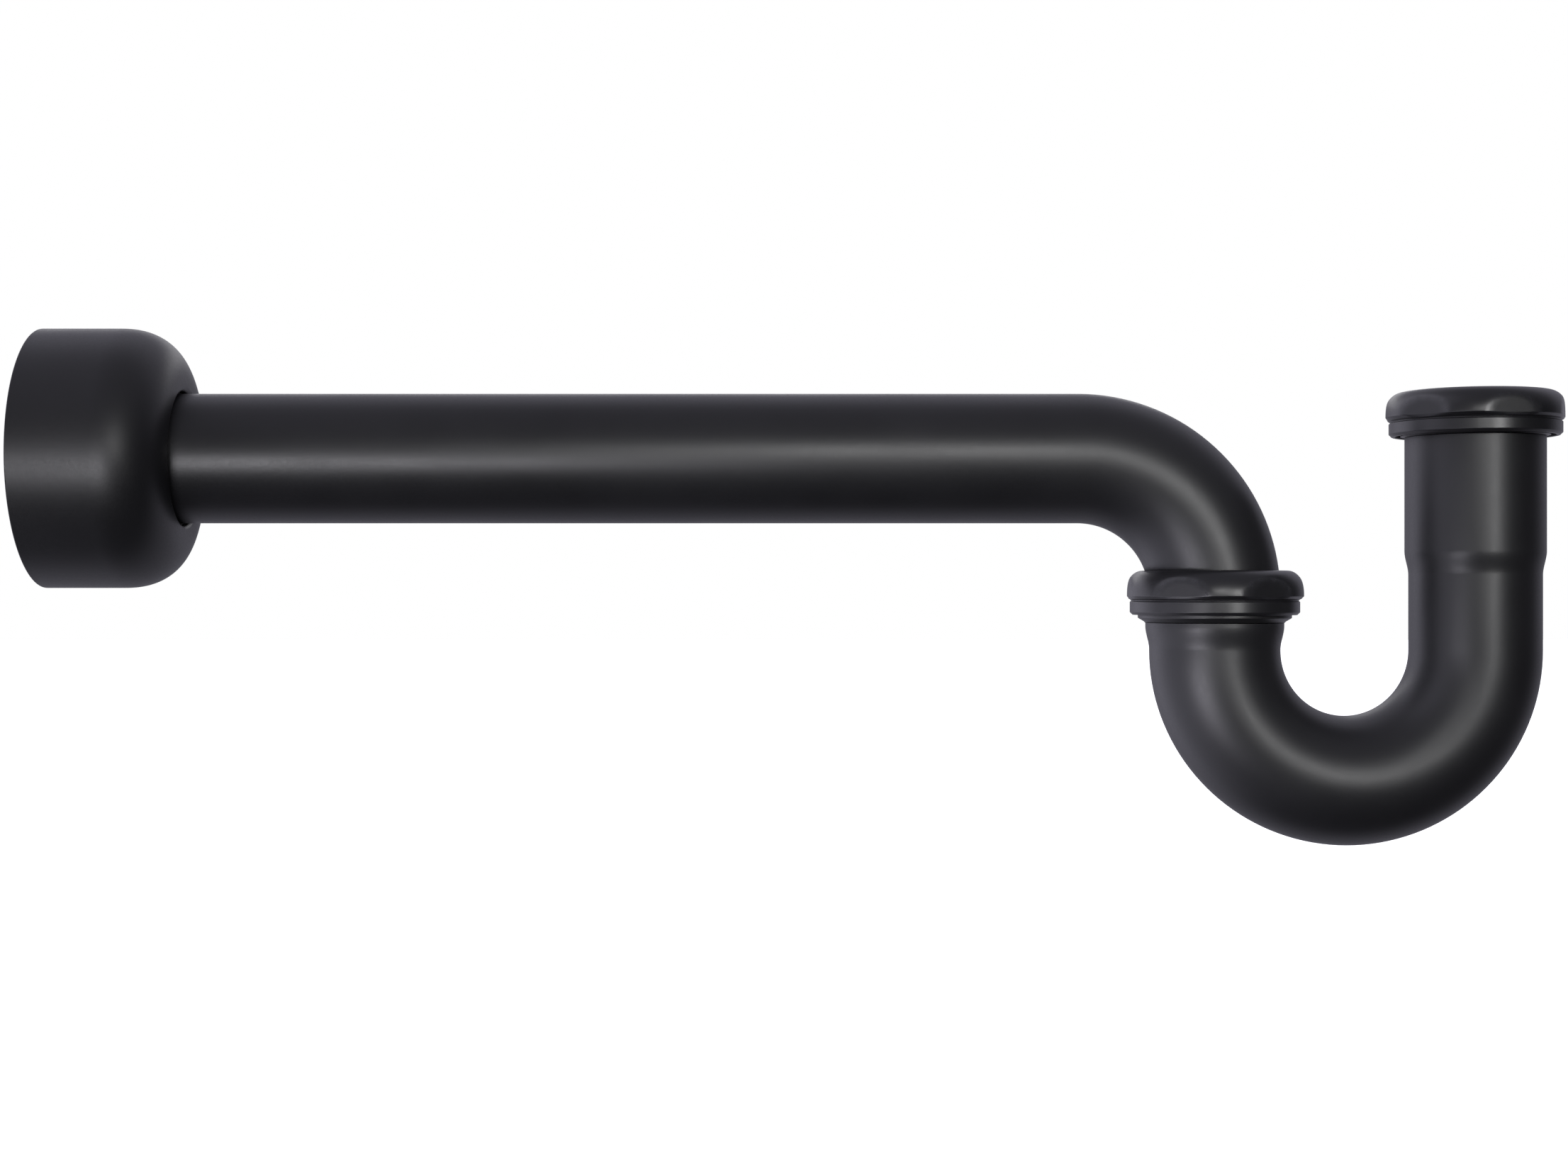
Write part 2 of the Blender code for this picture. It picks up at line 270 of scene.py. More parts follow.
def swept_points(route, outline, sides, reach):
    """A ring of points round the route for each point of an outline."""
    points = []
    for distance, radius, _ in outline:
        x, z, heading = route.at(distance)
        across = Vector((-math.sin(heading), 0, math.cos(heading)))
        for angle in ring_angles(sides):
            offset = across * math.cos(angle) + Vector((0, math.sin(angle), 0))
            points.append(Vector((x, 0, z)) + offset * reach(distance, radius, angle))
    return points


def swept_faces(rings, sides):
    """The faces between each ring of points and the next; the last ring meets the first."""
    faces = []
    for ring in range(rings):
        first, second = ring * sides, (ring + 1) % rings * sides
        for i in range(sides):
            j = (i + 1) % sides
            faces.append((first + i, second + i, second + j, first + j))
    return faces


def same_radius(distance, radius, angle):
    """The reach of a plain round piece."""
    return radius


def sweep(name, route, outline, finishes, sides, reach=same_radius, marks=None):
    """Sweeps a closed outline along a route, as a mesh object with smooth faces.

    A point's third value is the index of its finish. reach(distance, radius, angle) gives the
    radius at an angle. marks maps an attribute's name to a function of the same three.
    """
    mesh = bpy.data.meshes.new(name)
    points = swept_points(route, outline, sides, reach)
    mesh.from_pydata(points, [], swept_faces(len(outline), sides))
    for finish in finishes:
        mesh.materials.append(finish)
    slots = [slot for _, _, slot in outline for _ in range(sides)]
    mesh.polygons.foreach_set("material_index", slots)
    for key, measure in (marks or {}).items():
        values = [
            measure(distance, radius, angle)
            for distance, radius, _ in outline
            for angle in ring_angles(sides)
        ]
        mesh.attributes.new(key, "FLOAT", "POINT").data.foreach_set("value", values)
    return finish_mesh(name, mesh)


def finish_mesh(name, mesh):
    """Turns the faces outward, shades them smooth and makes the object."""
    mesh.update()
    if signed_volume(mesh) < 0:
        mesh.flip_normals()
    mesh.shade_smooth()
    obj = bpy.data.objects.new(name, mesh)
    bpy.context.scene.collection.objects.link(obj)
    weighted = obj.modifiers.new("even_shading", "WEIGHTED_NORMAL")
    weighted.weight = FACE_WEIGHT
    return obj


def signed_volume(mesh):
    """Six times a mesh's volume, below zero if its faces point inward."""
    total = 0.0
    for face in mesh.polygons:
        corners = [mesh.vertices[v].co for v in face.vertices]
        for k in range(1, len(corners) - 1):
            total += corners[0].dot(corners[k].cross(corners[k + 1]))
    return total


def place(obj, body, slot, *nodes):
    """Makes a piece ride on its body and stand for its CAD nodes."""
    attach(obj, body)
    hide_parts(*nodes)


# ---------------------------------------------------------------- finishes


# Coats; the colour varies by shares of itself, the roughness by what is added to it
COAT_DARK, COAT_LIGHT, COAT_RUBBED = 0.88, 1.14, 2.6
COAT_PATCH_ROUGHNESS = 0.018
COAT_GRAIN_ROUGHNESS = 0.025
COAT_RUBBED_ROUGHNESS = 0.1
COAT_GRAIN_DEPTH = 0.003 * MM
ORANGE_PEEL_DEPTH = 0.010 * MM
PIGMENT_SHARE = 0.5

# Bare metal, rubber and nylon
BRASS = (0.44, 0.33, 0.17)
TARNISH = (0.24, 0.17, 0.10)
OVERSPRAY = (0.014, 0.014, 0.016)
OVERSPRAY_ROUGHNESS = 0.55
OVERSPRAY_FADE = (0.3, 1.1)  # shares of its depth between which it thins out
OVERSPRAY_RAGGED = 0.1
BRASS_MARK_DEPTH = 0.003 * MM
RUBBER_BLOOM = 1.9
RUBBER_PIT_DEPTH = 0.008 * MM
NYLON_FLOW = 0.93
NYLON_MARK_DEPTH = 0.006 * MM

NOISE_MIDDLE = (0.3, 0.7)  # the range that most of a noise is in
WHITE = (1.0, 1.0, 1.0, 1.0)


class Nodes:
    """Adds nodes to a node tree."""

    def __init__(self, tree):
        self.tree = tree

    def node(self, kind, settings=None, **inputs):
        """A node with its settings and inputs; an input's name has _ for each space."""
        made = self.tree.nodes.new(kind)
        for key, value in (settings or {}).items():
            setattr(made, key, value)
        for key, value in inputs.items():
            self.give(made.inputs[key.replace("_", " ")], value)
        return made

    def give(self, socket, value):
        """Sets an input, or links it where the value is an output."""
        if isinstance(value, bpy.types.NodeSocket):
            self.tree.links.new(value, socket)
        else:
            socket.default_value = value

    def maths(self, operation, first, second):
        """The result of a Math node."""
        made = self.node("ShaderNodeMath", {"operation": operation})
        self.give(made.inputs[0], first)
        self.give(made.inputs[1], second)
        return made.outputs["Value"]

    def mix(self, share, first, second, kind="RGBA"):
        """A mix of two colours or, with kind FLOAT, of two values."""
        made = self.node("ShaderNodeMix", {"data_type": kind})
        wanted = {"RGBA": "_Color", "FLOAT": "_Float"}[kind]
        sockets = {s.identifier: s for s in made.inputs}
        self.give(sockets["Factor_Float"], share)
        self.give(sockets["A" + wanted], first)
        self.give(sockets["B" + wanted], second)
        return next(s for s in made.outputs if s.identifier == "Result" + wanted)

    def remap(self, value, source, wanted, interpolation="LINEAR"):
        """Maps a value from the source range onto the wanted one, and no further."""
        made = self.node(
            "ShaderNodeMapRange",
            {"interpolation_type": interpolation},
            Value=value,
            From_Min=source[0],
            From_Max=source[1],
            To_Min=wanted[0],
            To_Max=wanted[1],
        )
        return made.outputs["Result"]


class Finish(Nodes):
    """Builds the node tree of one finish."""

    def __init__(self, name):
        self.material = bpy.data.materials.new(name)
        self.material.use_nodes = True
        super().__init__(self.material.node_tree)
        self.shader = self.tree.nodes["Principled BSDF"]
        self.coordinates = self.node("ShaderNodeTexCoord").outputs["Object"]

    def noise(self, grain, detail):
        """Noise from 0 to 1 with features about grain metres across."""
        made = self.node(
            "ShaderNodeTexNoise", Vector=self.coordinates, Scale=1 / grain, Detail=detail
        )
        return made.outputs["Fac"]

    def between(self, noise, low, high):
        """Maps the middle of a noise onto the range low to high."""
        return self.remap(noise, NOISE_MIDDLE, (low, high))

    def attribute(self, name):
        """A value that a mesh carries at its points."""
        return self.node("ShaderNodeAttribute", {"attribute_name": name}).outputs["Fac"]

    def bump(self, height, depth, under=None):
        """Bump whose full height is depth metres, on top of another one."""
        made = self.node("ShaderNodeBump", Height=height, Distance=depth)
        if under:
            self.give(made.inputs["Normal"], under)
        return made.outputs["Normal"]

    def set(self, **inputs):
        """Sets or links inputs of the shader."""
        for key, value in inputs.items():
            self.give(self.shader.inputs[key.replace("_", " ")], value)


def rgba(colour, share=1.0):
    """A colour, or a share of it, as a colour socket takes it."""
    return (*(share * c for c in colour), 1.0)


def black_coat(name, colour, roughness, worn=False):
    """Satin black coating: fine orange peel, uneven gloss and, if worn, rubbed edges."""
    finish = Finish(name)
    patches = finish.noise(30 * MM, detail=3)
    grain = finish.noise(0.6 * MM, detail=2)
    shade = finish.mix(
        finish.between(patches, 0, 1), rgba(colour, COAT_DARK), rgba(colour, COAT_LIGHT)
    )
    gloss = finish.maths(
        "ADD",
        finish.between(
            patches, roughness - COAT_PATCH_ROUGHNESS, roughness + COAT_PATCH_ROUGHNESS
        ),
        finish.between(grain, -COAT_GRAIN_ROUGHNESS, COAT_GRAIN_ROUGHNESS),
    )
    if worn:
        scuffs = finish.between(finish.noise(2.2 * MM, detail=4), 0, 1)
        rubbed = finish.maths("MULTIPLY", finish.attribute("edge"), scuffs)
        polish = finish.maths("MULTIPLY", rubbed, COAT_RUBBED_ROUGHNESS)
        shade = finish.mix(rubbed, shade, rgba(colour, COAT_RUBBED))
        gloss = finish.maths("SUBTRACT", gloss, polish)
    peel = finish.bump(finish.noise(1.6 * MM, detail=1), ORANGE_PEEL_DEPTH)
    surface = finish.bump(grain, COAT_GRAIN_DEPTH, peel)
    finish.set(Base_Color=shade, Roughness=gloss, Normal=surface)
    return finish.material


def raw_brass(name, covered):
    """Tarnished brass with fine marks, under an overspray of black that fades with depth.

    covered is the depth from a mouth, in metres, over which the overspray thins out.
    """
    finish = Finish(name)
    tarnish = finish.noise(10 * MM, detail=4)
    metal = finish.mix(finish.between(tarnish, 0, 1), rgba(BRASS), rgba(TARNISH))
    fade = finish.maths("DIVIDE", finish.attribute("depth"), covered)
    edge = finish.between(finish.noise(4 * MM, detail=2), -OVERSPRAY_RAGGED, OVERSPRAY_RAGGED)
    bare = finish.remap(finish.maths("ADD", fade, edge), OVERSPRAY_FADE, (0, 1))
    finish.set(
        Base_Color=finish.mix(bare, rgba(OVERSPRAY), metal),
        Metallic=bare,
        Roughness=finish.mix(
            bare, OVERSPRAY_ROUGHNESS, finish.between(tarnish, 0.30, 0.44), "FLOAT"
        ),
        Normal=finish.bump(finish.noise(0.7 * MM, detail=3), BRASS_MARK_DEPTH),
    )
    return finish.material


def rubber(name, colour):
    """Moulded rubber: matt, with a faint bloom and fine pits."""
    finish = Finish(name)
    bloom = finish.noise(4 * MM, detail=4)
    finish.set(
        Base_Color=finish.mix(
            finish.between(bloom, 0, 1), rgba(colour), rgba(colour, RUBBER_BLOOM)
        ),
        Roughness=finish.between(bloom, 0.62, 0.80),
        Normal=finish.bump(finish.noise(0.4 * MM, detail=2), RUBBER_PIT_DEPTH),
    )
    return finish.material


def nylon(name, colour):
    """Natural nylon: milky and slightly see-through, with moulding flow marks."""
    finish = Finish(name)
    flow = finish.noise(6 * MM, detail=3)
    finish.set(
        Base_Color=finish.mix(finish.between(flow, 0, 1), rgba(colour), rgba(colour, NYLON_FLOW)),
        Roughness=finish.between(flow, 0.38, 0.50),
        Subsurface_Weight=0.25,
        Subsurface_Scale=2 * MM,
        Normal=finish.bump(finish.noise(0.9 * MM, detail=2), NYLON_MARK_DEPTH),
    )
    return finish.material


def record_colour(slot):
    """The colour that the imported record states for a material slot."""
    for material in frame["record"]["materials"]:
        if material["slot"] == slot:
            return material["base_color"]


def pigment(slot):
    """The colour under a coating's gloss, darker than the colour that the record states."""
    return [PIGMENT_SHARE * c for c in record_colour(slot)]


# ---------------------------------------------------------------- tubes


def tube_outline(outer_radius, stations):
    """Both skins of a tube, coated outside and bare inside, with its cut edges broken."""
    last = len(stations) - 1
    outside, inside = [], []
    for i, distance in enumerate(stations):
        radius = outer_radius(distance)
        edge = CUT_EDGE_R if i in (0, last) else 0
        outside.append((distance, radius, OUTER, edge))
        inside.append((distance, radius - TUBE_WALL, INNER, edge))
    corners = outside + inside[::-1]
    corners[-1] = (*corners[-1][:2], OUTER, CUT_EDGE_R)  # coats the cut end where the tube starts
    return rounded(corners)


def depth_in(route):
    """The distance from the nearest mouth of a tube, for its overspray."""
    return lambda distance, radius, angle: max(0.0, min(distance, route.length - distance))


def make_trap_arm(finishes):
    route = (
        Route(ARM_LOW.x, 0, RIGHT)
        .run(OUTLET_NUT.x - ARM_BEND_R - ARM_LOW.x)
        .turn(ARM_BEND_R, DOWN)
        .run(-ARM_BEND_R - ARM_LOW.z)
    )
    outline = tube_outline(lambda distance: TUBE_R, route.stations())
    marks = {"depth": depth_in(route)}
    arm = sweep("trap_arm_tube", route, outline, finishes, TUBE_SIDES, marks=marks)
    place(arm, "arm", "arm_black", "trap_arm")


def bell_radius(distance, bell_end):
    """Outer radius near a swaged end, whose full width runs from the mouth to bell_end."""
    share = clamp((distance - bell_end) / BELL_TAPER)
    return BELL_R + (TUBE_R - BELL_R) * share * share * (3 - 2 * share)


def make_j_bend(finishes):
    outlet_mouth_z = OUTLET_NUT.z - MOUTH
    inlet_mouth_z = INLET_NUT.z - MOUTH
    outlet_bell = outlet_mouth_z - OUTLET_BELL_END_Z
    inlet_bell = inlet_mouth_z - INLET_BELL_END_Z
    route = (
        Route(OUTLET_NUT.x, outlet_mouth_z, DOWN)
        .run(outlet_mouth_z - U_CENTRE_Z)
        .turn(U_BEND_R, math.pi)
        .run(inlet_mouth_z - U_CENTRE_Z)
    )

    def outer(distance):
        if distance < route.length / 2:
            return bell_radius(distance, outlet_bell)
        return bell_radius(route.length - distance, inlet_bell)

    stations = set(route.stations())
    for i in range(TAPER_STEPS + 1):
        stations.add(outlet_bell + BELL_TAPER * i / TAPER_STEPS)
        stations.add(route.length - inlet_bell - BELL_TAPER * i / TAPER_STEPS)
    outline = tube_outline(outer, sorted(stations))
    marks = {"depth": depth_in(route)}
    bend = sweep("j_bend_tube", route, outline, finishes, TUBE_SIDES, marks=marks)
    place(bend, "j_bend", "j_bend_black", "j_bend")


# ---------------------------------------------------------------- slip joints


def thread_share(depth, angle, first_angle):
    """How far a point lies up the thread's flank: 0 at the root, 1 on the crest."""
    turns = ((angle - first_angle) % math.tau) / math.tau
    height = (THREAD_START - depth) / PITCH
    turns += round(height - turns)
    off = abs(height - turns) * PITCH
    crest_half = (PITCH / 2 - FLANK) / 2
    profile = clamp((crest_half + FLANK - off) / FLANK)
    return profile * clamp(min(turns, THREAD_TURNS - turns) / THREAD_FADE)


def depths(first, last):
    """Depths a thread step apart from first to last, both included."""
    steps = math.ceil(abs(last - first) / THREAD_STEP)
    return [first + (last - first) * i / steps for i in range(steps + 1)]


def threaded(root, crest, first_angle):
    """A reach function that raises a thread on every point at the root radius."""

    def reach(depth, radius, angle):
        if abs(radius - root) > SAME_R:
            return radius
        return root + (crest - root) * thread_share(depth, angle, first_angle)

    return reach


def crest_mark(root, first_angle):
    """How rubbed a thread is: 1 on its crest."""

    def rubbed(depth, radius, angle):
        if abs(radius - root) > SAME_R:
            return 0.0
        return thread_share(depth, angle, first_angle)

    return rubbed


def collar_foot(bottom, inner_r):
    """A collar's corners from its lowest turn down its bevelled foot to the socket."""
    foot = bottom + FOOT_STRAIGHT
    return [
        (bottom, MALE_CREST_R, OUTER, COLLAR_EDGE_R),
        (foot, MALE_CREST_R, OUTER, 2 * COLLAR_EDGE_R),
        (foot + FOOT_CHAMFER - BRAZE_R, BELL_R + BRAZE_R, OUTER, BRAZE_R),
        (foot + FOOT_CHAMFER, inner_r, OUTER),
    ]


def collar_end(bottom, inner_r):
    """A collar's corners from its lowest turn to the socket, where it has no foot."""
    return [
        (bottom, MALE_ROOT_R, OUTER, COLLAR_EDGE_R),
        (bottom, BELL_R + BRAZE_R, OUTER, BRAZE_R),
        (bottom + BRAZE_R, inner_r, OUTER),
    ]


def make_collar(name, nut_place, turn, has_foot, finish):
    """The threaded ring round a mouth of the J-bend, with its braze fillet."""
    bottom = MOUTH + COLLAR_LENGTH
    inner_r = BELL_R - COLLAR_SINK
    corners = [
        (MOUTH, inner_r, OUTER, COLLAR_EDGE_R),
        (MOUTH, MALE_ROOT_R - COLLAR_CHAMFER, OUTER),
    ]
    for depth in depths(MOUTH + COLLAR_CHAMFER, bottom - COLLAR_EDGE_R):
        corners.append((depth, MALE_ROOT_R, OUTER))
    corners += collar_foot(bottom, inner_r) if has_foot else collar_end(bottom, inner_r)
    collar = sweep(
        name + "_thread",
        axis_route(nut_place, DOWN),
        rounded(corners),
        [finish],
        TURNED_SIDES,
        threaded(MALE_ROOT_R, MALE_CREST_R, turn),
        {"edge": crest_mark(MALE_ROOT_R, turn)},
    )
    place(collar, "j_bend", "thread_black", name + "_thread_collar")


def smooth_min(first, second, width):
    """The smaller of two values, blended where they differ by less than width."""
    blend = max(0.0, width - abs(first - second)) / width
    return min(first, second) - blend * blend * width / 4


def flat_radius(angle, turn):
    """Distance from a nut's axis to its hexagon."""
    from_flat = (angle - turn + SIXTH / 2) % SIXTH - SIXTH / 2
    return NUT_FLAT_R / math.cos(from_flat)


def above_skirt(radius):
    """Whether a point of a nut's outline is on the part that has flats."""
    return radius > SKIRT_R + SAME_R


def nut_outside():
    """A nut's corners from the edge of its hole, over the dome and down to its lower rim."""
    corners = [(0.0, NUT_HOLE_R + NUT_HOLE_CHAMFER, OUTER, NUT_EDGE_R)]
    for i in range(DOME_STEPS + 1):
        angle = math.pi / 2 * i / DOME_STEPS
        radius = DOME_CENTRE_R + (NUT_R - DOME_CENTRE_R) * math.sin(angle)
        corners.append((DOME_DEPTH * (1 - math.cos(angle)), radius, OUTER))
    corners += [
        (HEX_BOTTOM - HEX_CHAMFER, NUT_R, OUTER, 2 * NUT_EDGE_R),
        (HEX_BOTTOM - NUT_EDGE_R, HEX_BOTTOM_R, OUTER, NUT_EDGE_R),
        (HEX_BOTTOM, GROOVE_R + GROOVE_HALF, OUTER, NUT_EDGE_R),
        (HEX_BOTTOM + GROOVE_HALF, GROOVE_R, OUTER, NUT_EDGE_R),
        (HEX_BOTTOM + 2 * GROOVE_HALF, SKIRT_R, OUTER, NUT_EDGE_R),
        (NUT_HEIGHT - SKIRT_CHAMFER, SKIRT_R, OUTER, NUT_EDGE_R),
        (NUT_HEIGHT, SKIRT_R - SKIRT_CHAMFER, OUTER, NUT_EDGE_R),
    ]
    return corners


def nut_bore():
    """A nut's corners from its lower rim, up the thread and through its hole."""
    corners = [(NUT_HEIGHT, FEMALE_ROOT_R + NUT_ENTRY_CHAMFER, INNER, NUT_EDGE_R)]
    for depth in depths(NUT_HEIGHT - NUT_ENTRY_CHAMFER, NUT_THREAD_TOP):
        corners.append((depth, FEMALE_ROOT_R, INNER))
    corners += [
        (NUT_SHOULDER, FEMALE_ROOT_R + NUT_UNDERCUT, INNER, NUT_EDGE_R),
        (NUT_SHOULDER, NUT_HOLE_R, OUTER, NUT_EDGE_R),
        (NUT_HOLE_CHAMFER, NUT_HOLE_R, OUTER, NUT_EDGE_R),
    ]
    return corners


def make_nut(name, nut_place, turn, body, finishes):
    thread = threaded(FEMALE_ROOT_R, FEMALE_CREST_R, turn + math.pi)

    def reach(depth, radius, angle):
        if above_skirt(radius):
            return smooth_min(radius, flat_radius(angle, turn), NUT_FLAT_BLEND)
        return thread(depth, radius, angle)

    def rubbed(depth, radius, angle):
        if above_skirt(radius):
            return max(0.0, 1 - abs(radius - flat_radius(angle, turn)) / NUT_FLAT_BLEND)
        return 0.0

    nut = sweep(
        name + "_fine",
        axis_route(nut_place, DOWN),
        rounded(nut_outside() + nut_bore()),
        finishes,
        NUT_SIDES,
        reach,
        {"edge": rubbed, "depth": lambda depth, radius, angle: NUT_HEIGHT - depth},
    )
    place(nut, body, "nut_black", name)


def make_seal(name, nut_place, body, corners, finish, slot):
    """A ring turned about the axis of its nut."""
    route = axis_route(nut_place, DOWN)
    seal = sweep(name + "_fine", route, rounded(corners), [finish], TURNED_SIDES)
    place(seal, body, slot, name)


def friction_ring_corners():
    top = NUT_SHOULDER + GAP
    bottom = top + RING_THICKNESS
    return [
        (top, SEAL_OUTER_R, OUTER, RING_EDGE_R),
        (bottom, SEAL_OUTER_R, OUTER, RING_EDGE_R),
        (bottom, RING_R, OUTER, RING_EDGE_R),
        (top, RING_R, OUTER, RING_EDGE_R),
    ]


def washer_corners():
    top = NUT_SHOULDER + RING_THICKNESS + 2 * GAP
    bottom = top + WASHER_THICKNESS
    return [
        (top, SEAL_OUTER_R, OUTER, WASHER_EDGE_R),
        (bottom - WASHER_BEVEL, SEAL_OUTER_R, OUTER, WASHER_EDGE_R),
        (bottom, SEAL_OUTER_R - WASHER_BEVEL, OUTER, WASHER_EDGE_R),
        (bottom, WASHER_R, OUTER, WASHER_EDGE_R),
        (top, WASHER_R, OUTER, WASHER_EDGE_R),
    ]


def make_slip_joint(side, nut_place, turn, has_foot, finishes):
    """A nut, its friction ring and washer, and the collar that it screws onto."""
    make_seal(
        side + "_friction_ring",
        nut_place,
        side + "_seal",
        friction_ring_corners(),
        finishes["nylon"],
        "ring_nylon",
    )
    make_seal(
        side + "_washer",
        nut_place,
        side + "_seal",
        washer_corners(),
        finishes["washer"],
        "washer_rubber",
    )
    make_collar(side, nut_place, turn, has_foot, finishes["thread"])
    nut_finishes = [finishes["nut"], finishes["nut_bore"]]
    make_nut(side + "_slip_nut", nut_place, turn, side + "_nut", nut_finishes)


# ---------------------------------------------------------------- flange


def shoulder(outer_r, length, last_r, finish):
    """Points round the flange's shoulder, from its straight wall to last_r near the crest."""
    span = outer_r - CREST_R
    last = math.acos(((last_r - CREST_R) / span) ** (SHOULDER_POWER / 2))
    points = []
    for i in range(SHOULDER_STEPS + 1):
        angle = last * i / SHOULDER_STEPS
        radius = CREST_R + span * max(0.0, math.cos(angle)) ** (2 / SHOULDER_POWER)
        distance = FLANGE_STRAIGHT + length * math.sin(angle) ** (2 / SHOULDER_POWER)
        points.append((distance, radius, finish))
    return points


def lip():
    """The edge of the flange's hole, rolled in from the crest."""
    points = []
    for i in range(1, LIP_STEPS + 1):
        angle = math.pi / 2 * i / LIP_STEPS
        distance = FLANGE_DEPTH - LIP_DEPTH * (1 - math.cos(angle))
        radius = CREST_R - (CREST_R - NECK_HOLE_R) * math.sin(angle)
        points.append((distance, radius, OUTER))
    return points


def make_flange(finishes):
    """The flange, from its rim over the outside, through the neck and back inside."""
    inner_r = FLANGE_R - FLANGE_WALL
    neck = FLANGE_DEPTH - NECK_LENGTH
    groove = FLANGE_DEPTH - O_RING_GROOVE_DEPTH
    groove_end = groove - O_RING_GROOVE_WIDTH
    corners = [(0.0, FLANGE_R, OUTER, 2 * FLANGE_EDGE_R)]
    corners += shoulder(FLANGE_R, SHOULDER_LENGTH, CREST_R, OUTER)
    corners += lip()
    corners += [
        (groove, NECK_HOLE_R, OUTER, FLANGE_EDGE_R),
        (groove, O_RING_GROOVE_R, OUTER, FLANGE_EDGE_R),
        (groove_end, O_RING_GROOVE_R, OUTER, FLANGE_EDGE_R),
        (groove_end, NECK_HOLE_R, OUTER, FLANGE_EDGE_R),
        (neck, NECK_HOLE_R, INNER, FLANGE_EDGE_R),
        (neck, NECK_R, INNER, FLANGE_EDGE_R),
    ]
    corners += shoulder(inner_r, SHOULDER_LENGTH - FLANGE_WALL, NECK_R, INNER)[::-1]
    corners += [(0.0, inner_r, OUTER, 2 * FLANGE_EDGE_R)]
    route = axis_route(WALL_CENTRE, RIGHT)
    marks = {"depth": lambda distance, radius, angle: max(0.0, distance)}
    shell = sweep("box_flange_shell", route, rounded(corners), finishes, TURNED_SIDES, marks=marks)
    place(shell, "flange", "flange_black", "box_flange")


def make_o_ring(finish):
    """The O-ring, squeezed between the tube and its groove."""
    middle = FLANGE_DEPTH - O_RING_GROOVE_DEPTH - O_RING_GROOVE_WIDTH / 2
    middle_r = (TUBE_R + O_RING_GROOVE_R) / 2
    section_r = (O_RING_GROOVE_R - TUBE_R) / 2 - O_RING_CLEARANCE
    outline = []
    for i in range(O_RING_STEPS):
        angle = math.tau * i / O_RING_STEPS
        distance = middle + section_r * math.sin(angle)
        outline.append((distance, middle_r + section_r * math.cos(angle), OUTER))
    ring = sweep("o_ring", axis_route(WALL_CENTRE, RIGHT), outline, [finish], TURNED_SIDES)
    place(ring, "flange_seal", "o_ring_rubber", "flange_o_ring")


# ---------------------------------------------------------------- studio


FLOOR_Z = -0.32
FLOOR_SIZE = 24.0
FLOOR_COLOUR = (0.82, 0.82, 0.83)
CAMERA_PLACE = (0.2173, -0.687, -0.0381)
CAMERA_LENS = 53.54
SENSOR_WIDTH = 36.0

# Light from the sky: an axis, where along it the light starts and is full, and its strength
SKY_TINT = (0.87, 0.85, 1.0)
SKY_AMBIENT = 0.02
SKY_BACK = ("Y", 0.05, 0.5, 0.42)
SKY_TOP = ("Z", 0.1, 0.9, 0.30)
SKY_LEFT = ("X", -0.3, -0.8, 1.1)
SKY_LEFT_FADE = ("Y", -0.9, -0.2, 1.0)  # dims the left towards the camera's side


def make_floor():
    """A pale floor, as bright as the backdrop, that throws no light on the object."""
    half = FLOOR_SIZE / 2
    mesh = bpy.data.meshes.new("floor")
    corners = [(-half, -half), (half, -half), (half, half), (-half, half)]
    mesh.from_pydata([(x, y, FLOOR_Z) for x, y in corners], [], [(0, 1, 2, 3)])
    floor = bpy.data.objects.new("floor", mesh)
    bpy.context.scene.collection.objects.link(floor)
    finish = Finish("pale_floor")
    finish.set(Base_Color=rgba(FLOOR_COLOUR), Roughness=0.9)
    finish.set(Emission_Color=WHITE, Emission_Strength=1.0)
    mesh.materials.append(finish.material)
    floor.visible_glossy = False
    floor.visible_diffuse = False


class Sky(Nodes):
    """Builds the node tree of the world."""

    def __init__(self):
        world = bpy.data.worlds.new("studio")
        world.use_nodes = True
        bpy.context.scene.world = world
        super().__init__(world.node_tree)
        direction = self.node("ShaderNodeTexCoord").outputs["Generated"]
        self.axes = self.node("ShaderNodeSeparateXYZ", Vector=direction)

    def panel(self, axis, dim, bright, strength):
        """Light from where the direction's part along an axis goes from dim to bright."""
        part = self.axes.outputs[axis]
        return self.remap(part, (dim, bright), (0, strength), "SMOOTHSTEP")


def make_world():
    """White where the camera looks; as a light, strongest on the left, softer behind and above."""
    sky = Sky()
    light = sky.maths("MULTIPLY", sky.panel(*SKY_LEFT), sky.panel(*SKY_LEFT_FADE))
    for more in (sky.panel(*SKY_BACK), sky.panel(*SKY_TOP), SKY_AMBIENT):
        light = sky.maths("ADD", light, more)
    seen = sky.node("ShaderNodeLightPath").outputs["Is Camera Ray"]
    background = sky.tree.nodes["Background"]
    sky.give(background.inputs["Color"], sky.mix(seen, rgba(SKY_TINT), WHITE))
    sky.give(background.inputs["Strength"], sky.mix(seen, light, 1.0, "FLOAT"))


def make_softbox(name, location, target, size, power, beam=180, colour=(1, 1, 1)):
    """An area light that faces a target point; beam is its width in degrees."""
    light = bpy.data.lights.new(name, "AREA")
    light.shape = "RECTANGLE"
    light.size, light.size_y = size
    light.energy = power
    light.spread = math.radians(beam)
    light.color = colour
    softbox = bpy.data.objects.new(name, light)
    softbox.location = location
    softbox.visible_camera = False
    facing = Vector(target) - Vector(location)
    softbox.rotation_euler = facing.to_track_quat("-Z", "Y").to_euler()
    bpy.context.scene.collection.objects.link(softbox)


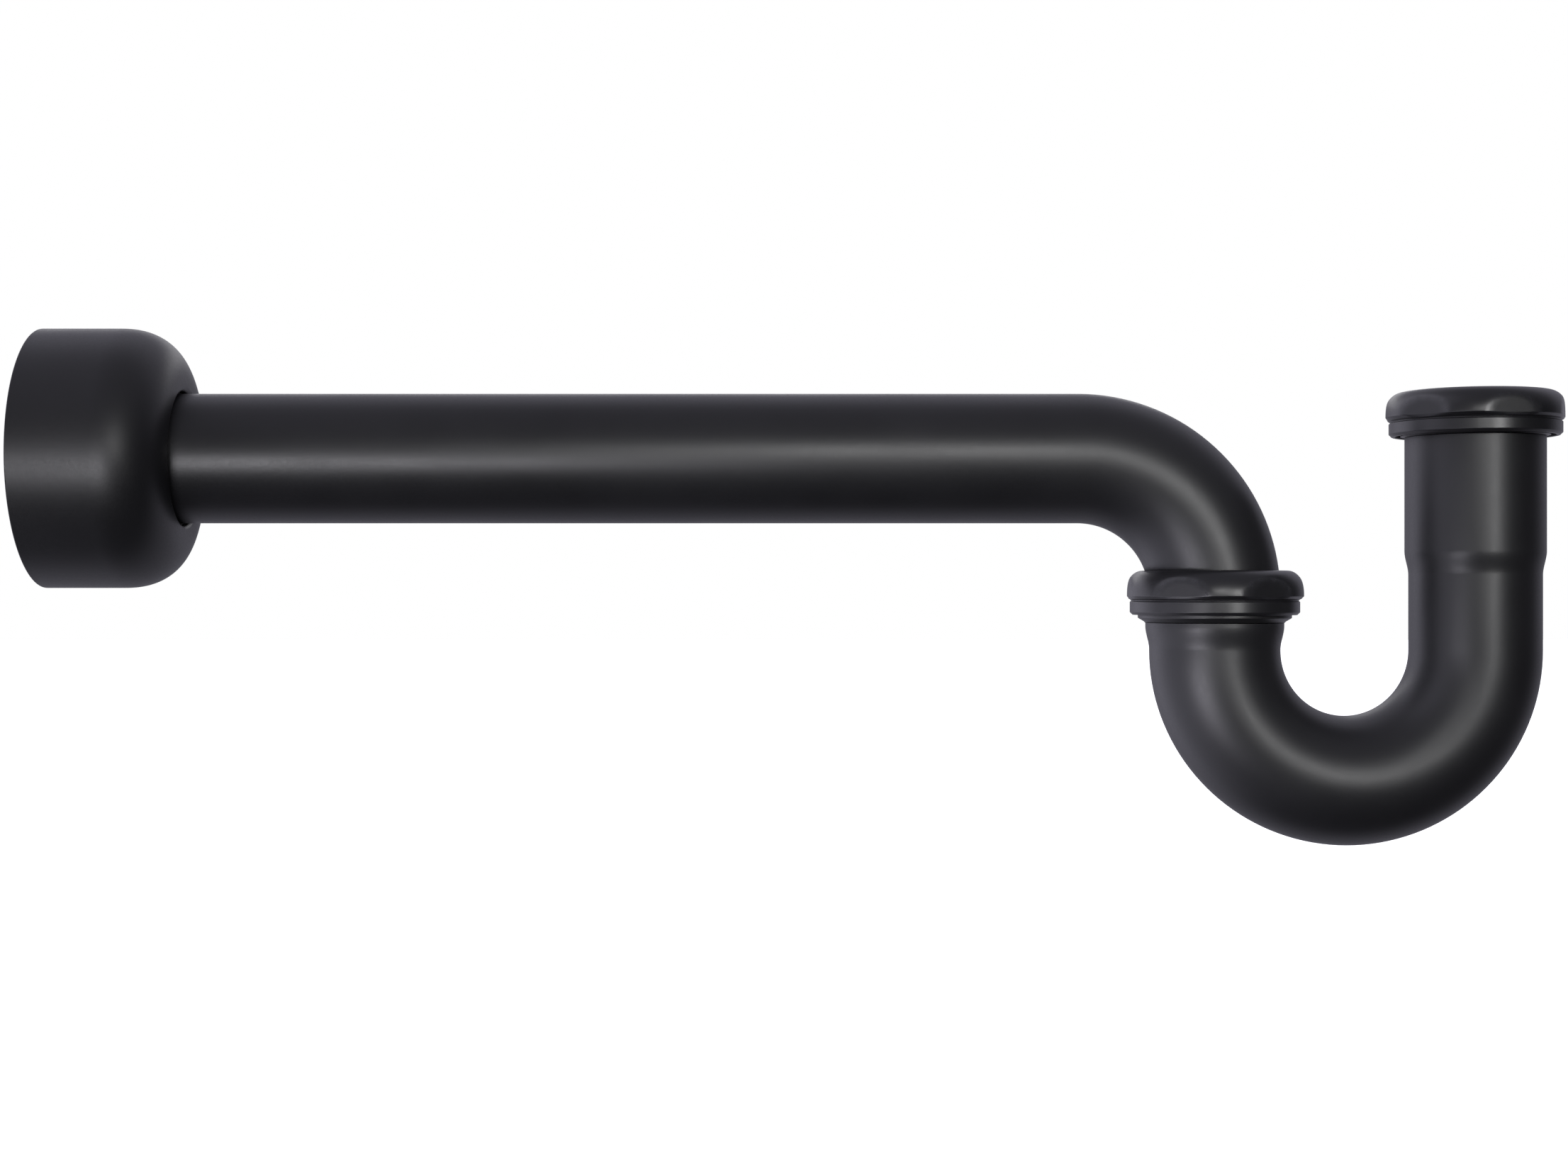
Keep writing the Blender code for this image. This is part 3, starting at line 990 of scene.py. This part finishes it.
def make_lights():
    """Three narrow beams from the camera's side, one on the bend and a wide box behind."""
    make_softbox(
        "left_box",
        location=(-0.10, -0.78, -0.14),
        target=(0.05, 0, 0),
        size=(0.32, 0.20),
        power=0.245,
        beam=50,
        colour=(0.96, 0.95, 1.0),
    )
    make_softbox(
        "upper_box",
        location=(0.31, -0.78, 0.15),
        target=(0.20, 0, 0.05),
        size=(0.20, 0.18),
        power=0.163,
        beam=50,
    )
    make_softbox(
        "right_strip",
        location=(0.62, -0.75, 0.06),
        target=(0.38, 0, 0),
        size=(0.12, 0.28),
        power=0.15,
        beam=45,
    )
    make_softbox(
        "bend_fill",
        location=(0.10, -0.25, -0.155),
        target=(0.30, 0, -0.085),
        size=(0.22, 0.10),
        power=0.043,
        beam=35,
        colour=(0.92, 0.90, 1.0),
    )
    make_softbox(
        "back_box", location=(0.10, 1.10, 0.45), target=(0.22, 0, 0), size=(1.2, 0.25), power=1.2
    )


def make_camera():
    camera = bpy.data.cameras.new("camera")
    camera.sensor_width = SENSOR_WIDTH
    camera.lens = CAMERA_LENS
    obj = bpy.data.objects.new("camera", camera)
    obj.location = CAMERA_PLACE
    obj.rotation_euler = (math.pi / 2, 0, 0)
    bpy.context.scene.collection.objects.link(obj)
    bpy.context.scene.camera = obj


def main():
    tube_bore = raw_brass("tube_bore", covered=30 * MM)
    arm_coat = black_coat("arm_coat", pigment("arm_black"), roughness=0.40)
    bend_coat = black_coat("j_bend_coat", pigment("j_bend_black"), roughness=0.42)
    flange_coat = black_coat("flange_coat", pigment("flange_black"), roughness=0.43)
    joint_finishes = {
        "nut": black_coat("nut_coat", pigment("nut_black"), roughness=0.34, worn=True),
        "nut_bore": raw_brass("nut_bore", covered=3 * MM),
        "thread": black_coat("thread_coat", pigment("thread_black"), roughness=0.38, worn=True),
        "nylon": nylon("natural_nylon", record_colour("ring_nylon")),
        "washer": rubber("washer_black", record_colour("washer_rubber")),
    }
    make_trap_arm([arm_coat, tube_bore])
    make_j_bend([bend_coat, tube_bore])
    make_slip_joint("outlet", OUTLET_NUT, OUTLET_NUT_TURN, True, joint_finishes)
    make_slip_joint("inlet", INLET_NUT, INLET_NUT_TURN, False, joint_finishes)
    make_flange([flange_coat, raw_brass("flange_inside", covered=30 * MM)])
    make_o_ring(rubber("o_ring_black", record_colour("o_ring_rubber")))
    make_floor()
    make_world()
    make_lights()
    make_camera()
    bpy.context.scene.view_settings.view_transform = "Standard"


main()
